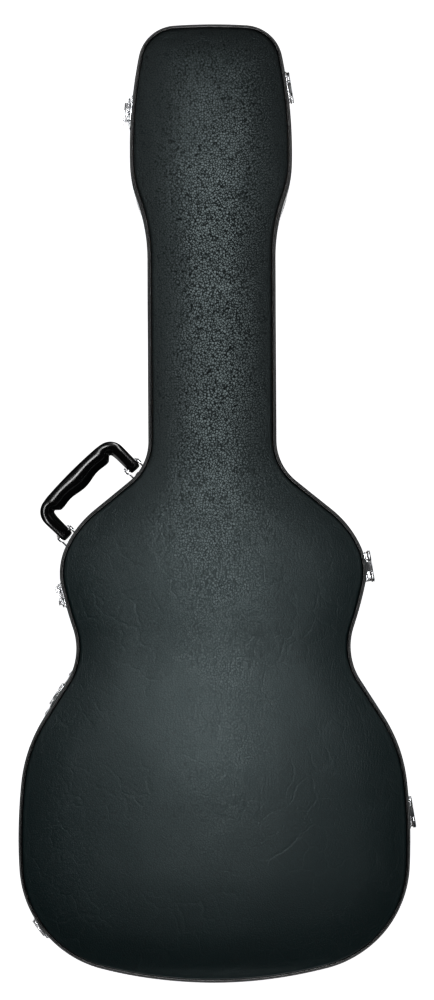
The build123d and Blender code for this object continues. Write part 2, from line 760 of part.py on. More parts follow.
# In the handle's plan x runs along it and y points out of the case; in its profile x is out and y is up.
handle_plan = Plane(origin=HANDLE_MIDDLE, x_dir=handle_along, z_dir=(0, 0, 1))
handle_profile = Plane(origin=HANDLE_MIDDLE, x_dir=HANDLE_OUT, z_dir=handle_along)
BRACKET_HEIGHT = HANDLE_MIDDLE.Z - JOINT
BRACKET_HOLES = [(0, BRACKET_HEIGHT - 10), (0, BRACKET_HEIGHT + 10)]
LEG_ROOM = LEG_HALF + 0.4  # from the middle of a leg to the ears beside it
PIN_HALF = LEG_ROOM + HANDLE_EAR + GAP
PIN_HEAD = 1.2
BRACKETS = (
    ("handle_bracket_front", wall_station(BRACKET_FRONT, -1), HANDLE_LEG),
    ("handle_bracket_rear", wall_station(BRACKET_REAR, -1), -HANDLE_LEG),
)

for name, station, middle in BRACKETS:
    with BuildPart() as bracket:
        half = BRACKET_WIDTH / 2
        plate(station, BRACKET_WIDTH, BRACKET_HEIGHT - half, BRACKET_HEIGHT + half, BRACKET_HOLES, corner=5)
        for start in (middle + LEG_ROOM, middle - LEG_ROOM - HANDLE_EAR):
            with BuildSketch(handle_profile.offset(start)):
                with Locations((HANDLE_PIVOT - HANDLE_EAR_REACH / 2, 0)):
                    Rectangle(HANDLE_EAR_REACH, 12)
                with Locations((HANDLE_PIVOT, 0)):
                    Circle(6)
                    Circle(HANDLE_PIN + RUNNING, mode=Mode.SUBTRACT)
            extrude(amount=HANDLE_EAR)
        clear_of_wall()
    bracket.part.label = name
    export_step(bracket.part, f"parts/{name}.step")

with BuildPart() as handle_pins:
    for middle in (HANDLE_LEG, -HANDLE_LEG):
        with BuildSketch(handle_profile.offset(middle)):
            with Locations((HANDLE_PIVOT, 0)):
                Circle(HANDLE_PIN)
        extrude(amount=PIN_HALF, both=True)
        for start in (middle + PIN_HALF, middle - PIN_HALF - PIN_HEAD):
            with BuildSketch(handle_profile.offset(start)):
                with Locations((HANDLE_PIVOT, 0)):
                    Circle(HANDLE_PIN + 1.4)
            extrude(amount=PIN_HEAD)
handle_pins.part.label = "handle_pins"
export_step(handle_pins.part, "parts/handle_pins.step")

with BuildPart() as handle_grip:
    with BuildSketch(handle_plan):
        with BuildLine():
            Polyline(
                (-63, HANDLE_PIVOT),
                (-63, 15),
                (-62, 40),
                (-42, 54),
                (0, 55.7),
                (42, 54),
                (62, 40),
                (63, 15),
                (63, HANDLE_PIVOT),
                (48, HANDLE_PIVOT),
                (48, 15),
                (44, 32),
                (22, 33),
                (0, 30),
                (-22, 33),
                (-44, 32),
                (-48, 15),
                (-48, HANDLE_PIVOT),
                (-63, HANDLE_PIVOT),
            )
        make_face()
        fillet([corner for corner in vertices() if corner.Y > 10 + HANDLE_PIVOT], radius=5)
        with Locations((-HANDLE_LEG, HANDLE_PIVOT), (HANDLE_LEG, HANDLE_PIVOT)):
            Circle(LEG_HALF)
    extrude(amount=GRIP_HALF, both=True)
    with BuildSketch(handle_profile):
        with BuildLine():
            Polyline(
                (HANDLE_PIVOT, -6.5),
                (30, -GRIP_HALF),
                (50, -GRIP_HALF),
                (60, -6),
                (60, 6),
                (50, GRIP_HALF),
                (30, GRIP_HALF),
                (HANDLE_PIVOT, 6.5),
                (HANDLE_PIVOT, -6.5),
            )
        make_face()
        with Locations((HANDLE_PIVOT, 0)):
            Circle(6.5)
    extrude(amount=80, both=True, mode=Mode.INTERSECT)
    with BuildSketch(handle_profile):
        with Locations((HANDLE_PIVOT, 0)):
            Circle(HANDLE_PIN + RUNNING)
    extrude(amount=80, both=True, mode=Mode.SUBTRACT)
handle_grip.part.label = "handle_grip"
export_step(handle_grip.part, "parts/handle_grip.step")

# ---- Rivets -------------------------------------------------------------------------------------------

# Each plate's station with its rivets' places on it.
LOWER_RIVETS = (
    [(hinge, LOWER_LEAF_HOLES) for hinge in HINGES]
    + [(latch, BASE_HOLES) for latch in LATCHES]
    + [(LOCK, LOCK_HOLES)]
    + [(station, BRACKET_HOLES) for name, station, middle in BRACKETS]
)
LID_RIVETS = (
    [(hinge, UPPER_LEAF_HOLES) for hinge in HINGES]
    + [(latch, CATCH_HOLES) for latch in LATCHES]
    + [(LOCK, HASP_HOLES)]
)

for name, places in (("lower_rivets", LOWER_RIVETS), ("lid_rivets", LID_RIVETS)):
    with BuildPart() as rivets:
        for station, holes in places:
            for sideways, height in holes:
                rivet(station, sideways, height)
    rivets.part.label = name
    export_step(rivets.part, f"parts/{name}.step")
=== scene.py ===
"""The looks of a hard guitar case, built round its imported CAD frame. Units are metres."""

import json
import math

import bmesh
import bpy
import numpy as np
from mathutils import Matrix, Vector, kdtree, noise

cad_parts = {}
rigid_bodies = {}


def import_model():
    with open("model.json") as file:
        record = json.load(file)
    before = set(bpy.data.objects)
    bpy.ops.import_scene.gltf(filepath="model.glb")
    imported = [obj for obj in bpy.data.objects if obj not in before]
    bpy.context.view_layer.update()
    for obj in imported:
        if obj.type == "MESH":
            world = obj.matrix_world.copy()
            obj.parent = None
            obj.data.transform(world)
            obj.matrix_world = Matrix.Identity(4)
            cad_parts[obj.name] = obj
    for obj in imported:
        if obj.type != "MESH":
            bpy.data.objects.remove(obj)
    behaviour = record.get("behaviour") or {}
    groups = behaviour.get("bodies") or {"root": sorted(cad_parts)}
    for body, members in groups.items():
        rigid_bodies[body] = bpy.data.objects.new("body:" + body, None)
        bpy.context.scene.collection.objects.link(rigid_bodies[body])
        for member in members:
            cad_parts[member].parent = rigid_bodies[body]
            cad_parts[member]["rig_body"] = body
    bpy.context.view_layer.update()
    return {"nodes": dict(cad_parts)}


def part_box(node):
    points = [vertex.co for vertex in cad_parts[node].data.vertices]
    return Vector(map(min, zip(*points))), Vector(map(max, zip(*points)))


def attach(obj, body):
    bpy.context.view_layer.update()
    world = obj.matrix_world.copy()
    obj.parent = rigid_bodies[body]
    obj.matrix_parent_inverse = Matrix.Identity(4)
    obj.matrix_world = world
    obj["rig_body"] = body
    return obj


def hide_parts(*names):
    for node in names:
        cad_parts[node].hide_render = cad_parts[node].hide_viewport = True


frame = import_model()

NODES = frame["nodes"]
MM = 0.001

# ---- Outline of the case ------------------------------------------------------------------------------

LENGTH = 1092 * MM
SPACING = 3 * MM
LOWER_BOUT = 222.5 * MM
CROWN = 15 * MM
TAIL_TURN = 14.5
END_RADIUS = 500 * MM  # about how both ends bend; it carries the crown on past them

# Half of the outline as (size in mm, turn in degrees), from the head's middle to the tail's.
HEAD_STEPS = [(675, 3.5), (44, 75), (545, 13), (118, 18.5), (203, -20)]
BODY_STEPS = [
    (59, -51),
    (52, 0),
    (119.5, 25),
    (71, 38),
    (440, 6.5),
    (71, -51),
    (49.5, 0),
    (171, 26.5),
    (620, 9),
    (125, 72.5),
]


def walk(neck):
    """Points and outward directions along the right half of the outline, and its last point."""
    place = np.array([0.0, LENGTH / 2])
    heading = 0.0
    points = []
    outs = []
    steps = HEAD_STEPS + [(neck / MM, 0)] + BODY_STEPS + [(None, TAIL_TURN)]
    for size, turn in steps:
        size = place[0] / math.sin(math.radians(TAIL_TURN)) if size is None else size * MM
        bend = math.radians(turn)
        length = size if turn == 0 else size * abs(bend)
        count = max(2, round(length / SPACING))
        out = np.array([-math.sin(heading), math.cos(heading)])
        if turn == 0:
            ahead = np.array([math.cos(heading), math.sin(heading)])
            for share in np.arange(count) / count:
                points.append(place + ahead * size * share)
                outs.append(out)
            place = place + ahead * size
        else:
            side = math.copysign(1, turn)
            centre = place - side * size * out
            for share in np.arange(count) / count:
                angle = heading - bend * share
                normal = np.array([-math.sin(angle), math.cos(angle)])
                points.append(centre + side * size * normal)
                outs.append(normal)
            heading -= bend
            place = centre + side * size * np.array([-math.sin(heading), math.cos(heading)])
    return np.array(points), np.array(outs), place


neck_length = walk(0)[2][1] + LENGTH / 2
right_points, right_outs = walk(neck_length)[:2]
MIRROR = np.array([-1, 1])
RIM = np.vstack([right_points, [[0, -LENGTH / 2]], (right_points[1:] * MIRROR)[::-1]])
RIM_OUT = np.vstack([right_outs, [[0, -1]], (right_outs[1:] * MIRROR)[::-1]])
HALF = len(right_points)  # index of the tail's middle
right_y = np.append(right_points[:, 1], -LENGTH / 2)[::-1]
right_x = np.append(right_points[:, 0], 0)[::-1]


def inset_loop(inset):
    """The outline moved inward, as points at the same stations."""
    return RIM - RIM_OUT * inset


def crown(x, y):
    """Rise of the lid over its rim."""
    beyond = np.maximum(0, np.abs(y) - LENGTH / 2)
    half_squared = np.interp(y, right_y, right_x**2) - 2 * END_RADIUS * beyond
    return CROWN * (half_squared - x * x) / LOWER_BOUT**2


# ---- Heights and insets of the vinyl and the piping ---------------------------------------------------

LID_FACE = 136.7 * MM  # outer face of the lid's vinyl at its edge, before its padding
LID_UNDER = 136.25 * MM
LID_VINYL_INSET = 7.6 * MM
LID_SIDE = (104.6 * MM, 133.8 * MM)
LOWER_SIDE = (4.7 * MM, 95.7 * MM)
SIDE_INSET = 0.05 * MM
SIDE_BACK = 0.85 * MM
BACK_FACE = 0.7 * MM
BACK_UNDER = 0.05 * MM
BEAD = 1.6 * MM
BEAD_PLACE = (3.2 * MM, 135.95 * MM)
BEAD_FLANGE = (4.75 * MM, 0.9 * MM)
BEAD_FLANGE_LOW = 133.9 * MM

# ---- Mesh helpers -------------------------------------------------------------------------------------


def finish_mesh(name, verts, faces, sharp=35):
    """A new smooth object from points and faces, with its normals out and its sharp edges kept."""
    mesh = bpy.data.meshes.new(name)
    mesh.from_pydata([tuple(map(float, v)) for v in verts], [], faces)
    grid = bmesh.new()
    grid.from_mesh(mesh)
    bmesh.ops.recalc_face_normals(grid, faces=grid.faces)
    grid.to_mesh(mesh)
    grid.free()
    mesh.polygons.foreach_set("use_smooth", [True] * len(mesh.polygons))
    mesh.set_sharp_from_angle(angle=math.radians(sharp))
    piece = bpy.data.objects.new(name, mesh)
    bpy.context.scene.collection.objects.link(piece)
    return piece


def round_profile(points, radius, steps=4):
    """A closed profile of (inset, height) points with its corners rounded by short curves."""
    rounded = []
    count = len(points)
    for i in range(count):
        before = np.array(points[i - 1], float)
        corner = np.array(points[i], float)
        after = np.array(points[(i + 1) % count], float)
        back = before - corner
        ahead = after - corner
        reach = min(radius, 0.45 * np.linalg.norm(back), 0.45 * np.linalg.norm(ahead))
        start = corner + back / np.linalg.norm(back) * reach
        end = corner + ahead / np.linalg.norm(ahead) * reach
        for t in np.linspace(0, 1, steps + 1):
            rounded.append((1 - t) ** 2 * start + 2 * t * (1 - t) * corner + t * t * end)
    return rounded


def band(name, profile, wobble=None, stretches=None):
    """A strip round the outline with a closed (inset, height) profile, whole or in open stretches."""
    total = len(RIM)
    verts = []
    faces = []
    count = len(profile)
    runs = stretches or [(0, total)]
    for start, end in runs:
        closed = stretches is None
        base = len(verts)
        stations = [i % total for i in range(start, end)]
        for i in stations:
            for inset, height in profile:
                shift = wobble(i, height) if wobble else 0
                x, y = RIM[i] - RIM_OUT[i] * (inset + shift)
                verts.append((x, y, height))
        rings = len(stations)
        for i in range(rings if closed else rings - 1):
            here = base + i * count
            there = base + (i + 1) % rings * count
            for k in range(count):
                j = (k + 1) % count
                faces.append((here + k, here + j, there + j, there + k))
        if not closed:
            faces.append(tuple(base + k for k in range(count)))
            last = base + (rings - 1) * count
            faces.append(tuple(last + k for k in reversed(range(count))))
    return finish_mesh(name, verts, faces)


COLUMNS = 72
EDGE_TREE = kdtree.KDTree(len(RIM))
for number, point in enumerate(RIM):
    EDGE_TREE.insert((point[0], point[1], 0), number)
EDGE_TREE.balance()


def edge_distance(x, y):
    """How far in from the outline a place is."""
    return EDGE_TREE.find((x, y, 0))[2]


def sheet_face(loop, height):
    """Points and faces of rows that fill a left-right symmetric loop; height gives each point's z."""
    right = loop[: HALF + 1]
    verts = [(x, y, height(x, y)) for x, y in loop]
    total = len(loop)
    shares = np.linspace(1, -1, COLUMNS + 1)
    rows = []
    for i in range(1, HALF):
        x, y = right[i]
        row = [i]
        for share in shares[1:-1]:
            row.append(len(verts))
            verts.append((x * share, y, height(x * share, y)))
        row.append(total - i)
        rows.append(row)
    faces = []
    for upper, lower in zip(rows, rows[1:]):
        for k in range(COLUMNS):
            faces.append((upper[k], upper[k + 1], lower[k + 1], lower[k]))
    for row, tip in ((rows[0], 0), (rows[-1], HALF)):
        for k in range(COLUMNS):
            faces.append((tip, row[k], row[k + 1]))
    return verts, faces


def slab(name, inset, edge, top, bottom):
    """A closed sheet: two filled faces at an inset, joined round the edge by (inset, drop) rings."""
    loop = inset_loop(inset)
    verts, faces = sheet_face(loop, top)
    total = len(loop)
    rim = list(range(total))
    for outer, drop in edge:
        ring = inset_loop(outer)
        new = []
        for i, (x, y) in enumerate(ring):
            new.append(len(verts))
            verts.append((x, y, top(*loop[i]) + drop))
        for i in range(total):
            j = (i + 1) % total
            faces.append((rim[i], rim[j], new[j], new[i]))
        rim = new
    base = len(verts)
    lower_verts, lower_faces = sheet_face(loop, bottom)
    verts.extend(lower_verts)
    faces.extend(tuple(base + k for k in reversed(face)) for face in lower_faces)
    for i in range(total):
        j = (i + 1) % total
        faces.append((rim[i], rim[j], base + j, base + i))
    return finish_mesh(name, verts, faces)


WELD = 0.002 * MM


def welded(node):
    """A CAD node's mesh with the corners of its faces joined, for editing."""
    grid = bmesh.new()
    grid.from_mesh(NODES[node].data)
    bmesh.ops.remove_doubles(grid, verts=grid.verts, dist=WELD)
    return grid


def linked_object(name, grid):
    """A new object made from an edited mesh, which is freed."""
    mesh = bpy.data.meshes.new(name)
    grid.to_mesh(mesh)
    grid.free()
    piece = bpy.data.objects.new(name, mesh)
    bpy.context.scene.collection.objects.link(piece)
    return piece


def finished_copy(node, name, bevel, segments=2, profile=0.6, crease=32, sharp=50):
    """A copy of a CAD node with every edge that bends more than crease degrees eased."""
    grid = welded(node)
    bmesh.ops.dissolve_limit(grid, angle_limit=math.radians(1), verts=grid.verts, edges=grid.edges)
    edges = [edge for edge in grid.edges if edge.calc_face_angle(0) > math.radians(crease)]
    bmesh.ops.bevel(
        grid,
        geom=edges,
        offset=bevel,
        segments=segments,
        profile=profile,
        affect="EDGES",
        clamp_overlap=True,
    )
    piece = linked_object(name, grid)
    piece.data.polygons.foreach_set("use_smooth", [True] * len(piece.data.polygons))
    piece.data.set_sharp_from_angle(angle=math.radians(sharp))
    return piece


def place(piece, body, slot, material, *nodes):
    """Puts a piece on its body with its finish, in place of the CAD nodes that it stands for."""
    piece.data.materials.clear()
    piece.data.materials.append(material)
    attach(piece, body)
    if nodes:
        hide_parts(*nodes)


# ---- Materials ----------------------------------------------------------------------------------------


class Shader:
    """A material under construction, with short names for the nodes that it uses."""

    def __init__(self, name):
        self.material = bpy.data.materials.new(name)
        self.material.use_nodes = True
        self.tree = self.material.node_tree
        self.main = self.tree.nodes["Principled BSDF"]
        self.place = self.tree.nodes.new("ShaderNodeTexCoord").outputs["Object"]

    def set(self, **values):
        for name, value in values.items():
            socket = self.main.inputs[name.replace("_", " ")]
            socket.default_value = value

    def link(self, output, socket):
        self.tree.links.new(output, socket)

    def node(self, kind, **inputs):
        made = self.tree.nodes.new(kind)
        for name, value in inputs.items():
            socket = made.inputs[name.replace("_", " ")]
            if isinstance(value, bpy.types.NodeSocket):
                self.link(value, socket)
            else:
                socket.default_value = value
        return made

    def stretched(self, scale):
        """Object coordinates scaled by three factors."""
        made = self.node("ShaderNodeMapping", Vector=self.place, Scale=scale)
        return made.outputs["Vector"]

    def noise(self, scale, detail=3, rough=0.5, vector=None):
        made = self.node("ShaderNodeTexNoise", Scale=scale, Detail=detail, Roughness=rough)
        self.link(vector or self.place, made.inputs["Vector"])
        return made.outputs["Fac"]

    def cells(self, scale, vector=None):
        made = self.node("ShaderNodeTexVoronoi", Scale=scale)
        made.feature = "DISTANCE_TO_EDGE"
        self.link(vector or self.place, made.inputs["Vector"])
        return made.outputs["Distance"]

    def wave(self, scale, direction="X", distortion=0, vector=None):
        made = self.node("ShaderNodeTexWave", Scale=scale, Distortion=distortion)
        made.bands_direction = direction
        self.link(vector or self.place, made.inputs["Vector"])
        return made.outputs["Fac"]

    def ramp(self, value, low, high, start=0.0, end=1.0):
        """The value mapped from low..high onto start..end, and held at the ends."""
        made = self.node("ShaderNodeMapRange", Value=value)
        made.inputs["From Min"].default_value = low
        made.inputs["From Max"].default_value = high
        made.inputs["To Min"].default_value = start
        made.inputs["To Max"].default_value = end
        return made.outputs["Result"]

    def mix(self, share, first, second):
        made = self.tree.nodes.new("ShaderNodeMix")
        made.data_type = "RGBA"
        for socket, value in ((made.inputs[0], share), (made.inputs[6], first), (made.inputs[7], second)):
            if isinstance(value, bpy.types.NodeSocket):
                self.link(value, socket)
            else:
                socket.default_value = value if isinstance(value, (int, float)) else (*value, 1)[:4]
        return made.outputs[2]

    def math(self, operation, first, second=0.0):
        made = self.tree.nodes.new("ShaderNodeMath")
        made.operation = operation
        for socket, value in zip(made.inputs, (first, second)):
            if isinstance(value, bpy.types.NodeSocket):
                self.link(value, socket)
            else:
                socket.default_value = value
        return made.outputs[0]

    def bump(self, *layers):
        """Stacks bump layers of (height, strength, distance)."""
        normal = None
        for height, strength, distance in layers:
            made = self.node("ShaderNodeBump", Strength=strength, Distance=distance, Height=height)
            if normal:
                self.link(normal, made.inputs["Normal"])
            normal = made.outputs["Normal"]
        self.link(normal, self.main.inputs["Normal"])

    def colour(self, output):
        self.link(output, self.main.inputs["Base Color"])

    def rough(self, output):
        self.link(output, self.main.inputs["Roughness"])


# Lighter teal base colour for the vinyl's tail half: a painted highlight where the broad overhead
# highlight falls.
TEAL_HIGHLIGHT = (0.0024, 0.0130, 0.0144)


def vinyl_material(name, shine):
    """Black vinyl with a pebbled leather grain, marbled with shallow creases, with painted shade in the
    grain's valleys and a painted highlight as a lighter teal tone on the tail half.
    """
    s = Shader(name)
    s.set(Specular_IOR_Level=shine, Specular_Tint=(0.80, 0.98, 1.0, 1))
    warp = s.node("ShaderNodeTexNoise", Scale=38.0, Detail=3.0, Vector=s.place).outputs["Color"]
    bent = s.mix(0.022, s.place, warp)
    pebble = s.cells(370)
    grain = s.ramp(pebble, 0.0, 0.14)
    fine = s.noise(1300, 2, 0.6)
    crease = s.noise(30, 5, 0.62)
    blotch = s.noise(9, 3, 0.55)
    tail_side = s.ramp(s.node("ShaderNodeSeparateXYZ", Vector=s.place).outputs["Y"], 0.12, -0.1)
    wrinkled = s.math("MULTIPLY", tail_side, s.ramp(s.noise(14, 2), 0.42, 0.6))
    vein = s.math("MULTIPLY", s.ramp(s.cells(42, vector=bent), 0.0, 0.07, 1, 0), wrinkled)
    # Painted highlight: the tail half gets a lighter teal base colour than the head half, where the broad
    # overhead highlight falls.
    base = s.mix(tail_side, (0.0052, 0.0060, 0.0064), TEAL_HIGHLIGHT)
    worn = s.mix(s.ramp(blotch, 0.35, 0.7, 0, 0.4), base, (0.006, 0.013, 0.0138))
    # Painted shade: the colour goes towards near-black in the valleys between the pebbles, where shade
    # falls.
    deep = s.mix(s.ramp(pebble, 0.0, 0.12, 0.7, 0), worn, (0.001, 0.0012, 0.0014))
    s.colour(s.mix(s.math("MULTIPLY", vein, 0.25), deep, (0.018, 0.028, 0.03)))
    depth = s.ramp(tail_side, 0, 1, 0.55, 0.16)
    relief = s.math("MULTIPLY", grain, s.ramp(tail_side, 0, 1, 1, 0.55))
    pits = s.math("MULTIPLY", s.ramp(pebble, 0.02, 0.12, 1, 0), depth)
    s.rough(s.math("ADD", s.ramp(crease, 0.3, 0.7, 0.28, 0.31), pits))
    s.bump((crease, 0.045, 0.0015), (vein, 0.14, -0.0006), (relief, 0.45, 0.00028), (fine, 0.1, 0.00005))
    return s.material


def piping_material():
    """Smooth extruded welt: satin black with fine scuffs."""
    s = Shader("piping")
    s.set(Specular_IOR_Level=0.5)
    scuff = s.noise(160, 4, 0.6)
    s.colour(s.mix(s.ramp(scuff, 0.45, 0.75), (0.003, 0.0032, 0.0035), (0.007, 0.0073, 0.0077)))
    s.rough(s.ramp(scuff, 0.3, 0.7, 0.16, 0.26))
    s.bump((scuff, 0.25, 0.0003), (s.noise(900, 2), 0.15, 0.0001))
    return s.material


def plywood_material():
    """Birch plywood: grain along Y, with the plies' lines round the edges."""
    s = Shader("plywood")
    s.set(Specular_IOR_Level=0.4)
    streak = s.noise(90, 4, 0.6, s.stretched((1, 0.06, 1)))
    plies = s.wave(210, "Z", 0.4)
    wood = s.mix(s.ramp(streak, 0.3, 0.7), (0.34, 0.22, 0.12), (0.52, 0.37, 0.22))
    s.colour(s.mix(s.ramp(plies, 0.3, 0.7, 0, 0.35), wood, (0.22, 0.13, 0.07)))
    s.rough(s.ramp(streak, 0.2, 0.8, 0.5, 0.7))
    s.bump((streak, 0.3, 0.0004), (plies, 0.15, 0.0002))
    return s.material


def valance_material():
    """Drawn aluminium strip with fine lines along it."""
    s = Shader("valance")
    s.set(Metallic=1.0)
    lines = s.noise(1, 3, 0.5, s.stretched((60, 60, 2600)))
    smudge = s.noise(45, 3)
    s.colour(s.mix(s.ramp(smudge, 0.35, 0.7), (0.60, 0.61, 0.63), (0.72, 0.73, 0.75)))
    s.rough(s.math("ADD", s.ramp(smudge, 0.3, 0.7, 0.2, 0.32), s.ramp(lines, 0.4, 0.6, 0, 0.06)))
    s.bump((lines, 0.12, 0.00015))
    return s.material


def plated_material(name):
    """Nickel-chrome plate with faint smudges and fine scratches."""
    s = Shader(name)
    s.set(Metallic=1.0)
    smudge = s.noise(60, 4, 0.6)
    scratch = s.noise(1, 2, 0.5, s.stretched((2400, 2400, 120)))
    s.colour(s.mix(s.ramp(smudge, 0.4, 0.75), (0.80, 0.81, 0.83), (0.62, 0.62, 0.63)))
    s.rough(s.math("ADD", s.ramp(smudge, 0.3, 0.75, 0.1, 0.24), s.ramp(scratch, 0.55, 0.7, 0, 0.08)))
    s.bump((scratch, 0.06, 0.00005), (smudge, 0.04, 0.0002))
    return s.material


def plush_material(name, dark, light):
    """Short crushed pile: a soft sheen over dark fibres, brushed in patches."""
    s = Shader(name)
    s.set(Sheen_Weight=0.85, Sheen_Roughness=0.42, Sheen_Tint=(0.52, 0.53, 0.56, 1))
    s.set(Specular_IOR_Level=0.15)
    fibres = s.noise(2100, 2, 0.7)
    brushed = s.noise(15, 4, 0.6)
    nap = s.noise(240, 3, 0.6)
    tone = s.mix(s.ramp(brushed, 0.35, 0.68), dark, light)
    s.colour(s.mix(s.ramp(fibres, 0.35, 0.7, 0.45, 0), tone, tuple(0.4 * c for c in dark)))
    s.rough(s.ramp(nap, 0.3, 0.7, 0.85, 1.0))
    s.bump((brushed, 0.35, 0.002), (nap, 0.5, 0.0008), (fibres, 0.6, 0.0003))
    return s.material


def handle_material():
    """Moulded black plastic with a fine orange-peel gloss."""
    s = Shader("handle_plastic")
    s.set(Specular_IOR_Level=0.4)
    peel = s.noise(420, 2, 0.5)
    wear = s.noise(35, 4, 0.6)
    s.colour(s.mix(s.ramp(wear, 0.45, 0.75), (0.0025, 0.0026, 0.0028), (0.006, 0.0062, 0.0065)))
    s.rough(s.ramp(wear, 0.35, 0.7, 0.1, 0.16))
    s.bump((peel, 0.06, 0.0002))
    return s.material


def tab_material():
    """Black leather tab with a tight grain."""
    s = Shader("pull_tab")
    s.set(Specular_IOR_Level=0.5)
    grain = s.cells(900)
    s.colour(s.mix(s.ramp(grain, 0, 0.2, 0.6, 0), (0.02, 0.018, 0.016), (0.004, 0.004, 0.004)))
    s.rough(s.ramp(grain, 0, 0.3, 0.6, 0.42))
    s.bump((grain, 0.5, 0.0003))
    return s.material


def thread_material():
    """Twisted grey thread."""
    s = Shader("thread")
    twist = s.wave(900, "DIAGONAL")
    s.colour(s.mix(twist, (0.10, 0.10, 0.10), (0.26, 0.26, 0.25)))
    s.set(Specular_IOR_Level=0.3, Roughness=0.7)
    s.bump((twist, 0.4, 0.0002))
    return s.material


def floor_material():
    """An even pale studio floor."""
    s = Shader("floor")
    s.set(Roughness=0.85, Specular_IOR_Level=0.1, Emission_Color=(1, 1, 1, 1), Emission_Strength=1.0)
    s.colour(s.mix(s.noise(3, 2), (0.90, 0.90, 0.90), (0.93, 0.93, 0.93)))
    return s.material


VINYL = vinyl_material("vinyl", 0.62)
SIDE_VINYL = vinyl_material("side_vinyl", 0.3)
PIPING = piping_material()
PLYWOOD = plywood_material()
ALUMINIUM = valance_material()
PLATED = plated_material("plated_steel")
PLUSH = plush_material("plush", (0.012, 0.012, 0.0135), (0.03, 0.03, 0.033))
PAD_PLUSH = plush_material("pad_plush", (0.016, 0.016, 0.0175), (0.037, 0.037, 0.04))
HANDLE = handle_material()
TAB = tab_material()
THREAD = thread_material()

# ---- Camera, lights and floor -------------------------------------------------------------------------

DISTANCE = 3.0  # the camera's height above the rim
RIM_HEIGHT = 137 * MM
VIEW_HEIGHT = 1137.5 * MM  # what the frame takes in, top to bottom, at the lid
SENSOR = 36
LEAN = -0.3  # degrees that the case leans in the frame
FRAME_MIDDLE = (4.9 * MM, 4 * MM)

lens = bpy.data.cameras.new("camera")
lens.sensor_width = SENSOR
lens.lens = SENSOR * DISTANCE / VIEW_HEIGHT
camera = bpy.data.objects.new("camera", lens)
camera.location = (*FRAME_MIDDLE, RIM_HEIGHT + DISTANCE)
camera.rotation_euler = (0, 0, math.radians(LEAN))
bpy.context.scene.collection.objects.link(camera)
bpy.context.scene.camera = camera


def softbox(name, at, towards, size, power):
    """A rectangular soft light, long along its second size."""
    light = bpy.data.lights.new(name, "AREA")
    light.shape = "RECTANGLE"
    light.size, light.size_y = size
    light.energy = power
    lamp = bpy.data.objects.new(name, light)
    lamp.location = at
    lamp.rotation_euler = (Vector(towards) - Vector(at)).to_track_quat("-Z", "Y").to_euler()
    bpy.context.scene.collection.objects.link(lamp)


softbox("overhead", (0.0, 0.2, 3.4), (0, 0.2, 0), (0.2, 1.75), 17)
softbox("overhead_head", (0.0, 0.72, 3.3), (0, 0.72, 0), (0.2, 0.4), 4)
softbox("overhead_tail", (0.0, -0.26, 3.3), (0, -0.26, 0), (0.3, 0.36), 2.5)
softbox("left_side", (-2.4, 1.3, 1.5), (0, 0, 0.05), (1.2, 2.0), 7.5)
softbox("right_side", (2.6, 1.0, 1.2), (0, 0, 0.05), (1.4, 2.0), 5)
softbox("tail_side", (0.4, -3.0, 1.2), (0, 0, 0.05), (2.0, 1.4), 4)

world = bpy.data.worlds.new("studio")
world.use_nodes = True
background = world.node_tree.nodes["Background"]
background.inputs["Color"].default_value = (0.95, 0.97, 1.0, 1)
background.inputs["Strength"].default_value = 0.025
bpy.context.scene.world = world
bpy.context.scene.view_settings.view_transform = "Standard"

FLOOR_REACH = 6.0
FLOOR_DROP = 0.4 * MM
floor = finish_mesh(
    "floor",
    [(x * FLOOR_REACH, y * FLOOR_REACH, -FLOOR_DROP) for x, y in ((-1, -1), (1, -1), (1, 1), (-1, 1))],
    [(0, 1, 2, 3)],
)
floor.data.materials.append(floor_material())

# ---- Vinyl and piping ---------------------------------------------------------------------------------

EDGE_PUFF = 2.6 * MM  # extra rise of the padded lid behind its edge
EDGE_PUFF_REACH = 60 * MM
RIPPLE = 0.22 * MM


def ripple(x, y, size, depth):
    """A smooth random height at a place, with bumps about size apart."""
    return depth * noise.noise(Vector((x / size, y / size, 0.37)))


def lid_top(x, y):
    """Outer face of the lid's vinyl: the crown, a padded edge and faint waves."""
    share = min(1, edge_distance(x, y) / EDGE_PUFF_REACH)
    puff = EDGE_PUFF * (1 - (1 - share) ** 2)
    calm = min(1, share * 3)
    waves = ripple(x, y, 0.055, RIPPLE) + ripple(x + 1, y, 0.021, 0.35 * RIPPLE)
    return LID_FACE + float(crown(x, y)) + puff + calm * waves


def lid_under(x, y):
    """Inner face of the lid's vinyl."""
    return LID_UNDER + float(crown(x, y))


lid_vinyl = slab(
    "lid_vinyl_top",
    LID_VINYL_INSET,
    [(6.6 * MM, -0.15 * MM), (5.8 * MM, -0.5 * MM), (5.1 * MM, -1.1 * MM), (4.85 * MM, -1.9 * MM)],
    lid_top,
    lid_under,
)
place(lid_vinyl, "lid", "vinyl", VINYL, "lid_top_covering")

SIDE_WAVE = 0.12 * MM


def side_wave(station, height):
    """A slight unevenness of the glued vinyl."""
    x, y = RIM[station]
    return SIDE_WAVE * noise.noise(Vector((x / 0.04, y / 0.04, height / 0.03)))


def side_profile(low, high, rounding):
    """The section of a band of side vinyl, with enough heights for its face to be uneven."""
    outer = [(SIDE_INSET, h) for h in np.linspace(low, high, 9)[1:-1]]
    face = [spot for spot in outer if low + rounding < spot[1] < high - rounding]
    foot = [(0.25 * MM, low), (SIDE_INSET, low + rounding)]
    top = [
        (SIDE_INSET, high - rounding),
        (0.2 * MM, high - 0.4 * rounding),
        (0.55 * MM, high - 0.1 * rounding),
        (SIDE_BACK, high),
        (SIDE_BACK, low),
    ]
    return foot + face + top


